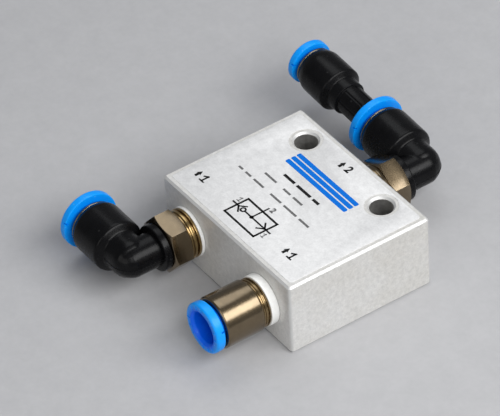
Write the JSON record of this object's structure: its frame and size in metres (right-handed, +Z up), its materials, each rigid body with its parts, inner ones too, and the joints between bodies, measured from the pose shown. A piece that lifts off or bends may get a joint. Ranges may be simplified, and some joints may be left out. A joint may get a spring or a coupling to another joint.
{
  "type": "pneumatic shuttle valve",
  "caption": "Flat rectangular valve block that passes the stronger of its inlets to the outlet, with push-in tube fittings: a straight one, swivel elbows and a plug-in reducer.",
  "frame": {"origin": "centre of the block's flat bottom face", "axes": "+X along the block's long side, +Y from the face with the two inlets to the face with the outlet, +Z up through the block, away from the base"},
  "size_m": [0.0728, 0.088, 0.0201],
  "materials": {
    "anodised_aluminium": "fine matte clear anodised",
    "label_film": "matte printed foil",
    "nickel_brass": "nickel-plated, turned",
    "black_plastic": "satin moulded",
    "blue_plastic": "satin moulded",
    "white_seal": "smooth",
    "rubber_seal": "matte",
    "stainless": "stamped sheet",
    "brass": "turned",
    "acetal": "smooth"
  },
  "bodies": {
    "housing": {"valve_block": "anodised_aluminium", "type_label": "label_film", "seat_left": "brass", "seat_right": "brass", "seat_oring_left": "rubber_seal", "seat_oring_right": "rubber_seal", "spacer_sleeve": "brass", "end_plug": "brass", "end_plug_oring": "rubber_seal", "straight_body": "nickel_brass", "straight_sealing_ring": "white_seal", "straight_tube_seal": "rubber_seal", "straight_grab_ring": "stainless", "straight_sleeve": "black_plastic", "left_stem": "nickel_brass", "left_sealing_ring": "white_seal", "left_swivel_oring": "rubber_seal", "left_retaining_clip": "stainless", "rear_stem": "nickel_brass", "rear_sealing_ring": "white_seal", "rear_swivel_oring": "rubber_seal", "rear_retaining_clip": "stainless"},
    "shuttle_assembly": {"shuttle": "acetal", "shuttle_face_left": "rubber_seal", "shuttle_face_right": "rubber_seal"},
    "straight_ring": {"straight_release_ring": "blue_plastic"},
    "left_leg": {"left_elbow": "black_plastic", "left_tube_seal": "rubber_seal", "left_grab_ring": "stainless", "left_rim": "nickel_brass"},
    "left_ring": {"left_release_ring": "blue_plastic"},
    "rear_leg": {"rear_elbow": "black_plastic", "rear_tube_seal": "rubber_seal", "rear_grab_ring": "stainless", "rear_rim": "nickel_brass"},
    "rear_ring": {"rear_release_ring": "blue_plastic"},
    "reducer": {"reducer_body": "black_plastic", "reducer_tube_seal": "rubber_seal", "reducer_grab_ring": "stainless", "reducer_rim": "nickel_brass"},
    "reducer_ring": {"reducer_release_ring": "blue_plastic"}
  },
  "joints": [
    {"name": "shuttle_slide", "type": "slide", "parent": "housing", "child": "shuttle_assembly", "axis": [1, 0, 0], "range_m": [-0.0011, 0.0011]},
    {"name": "straight_ring_press", "type": "slide", "parent": "housing", "child": "straight_ring", "axis": [0, 1, 0], "range_m": [0, 0.0008], "stiffness_N_per_m": 400},
    {"name": "left_elbow_swivel", "type": "hinge", "parent": "housing", "child": "left_leg", "pos_m": [-0.015, -0.0366, 0.01], "axis": [0, 1, 0], "continuous": true},
    {"name": "left_ring_press", "type": "slide", "parent": "left_leg", "child": "left_ring", "axis": [1, 0, 0], "range_m": [0, 0.0008], "stiffness_N_per_m": 400},
    {"name": "rear_elbow_swivel", "type": "hinge", "parent": "housing", "child": "rear_leg", "pos_m": [0, 0.0366, 0.01], "axis": [0, 1, 0], "continuous": true},
    {"name": "rear_ring_press", "type": "slide", "parent": "rear_leg", "child": "rear_ring", "axis": [0.9976, 0, -0.0698], "range_m": [0, 0.0008], "stiffness_N_per_m": 400},
    {"name": "reducer_turn", "type": "hinge", "parent": "rear_leg", "child": "reducer", "pos_m": [-0.02993, 0.0366, 0.01209], "axis": [0.9976, 0, -0.0698], "continuous": true},
    {"name": "reducer_ring_press", "type": "slide", "parent": "reducer", "child": "reducer_ring", "axis": [0.9976, 0, -0.0698], "range_m": [0, 0.0008], "stiffness_N_per_m": 400}
  ]
}
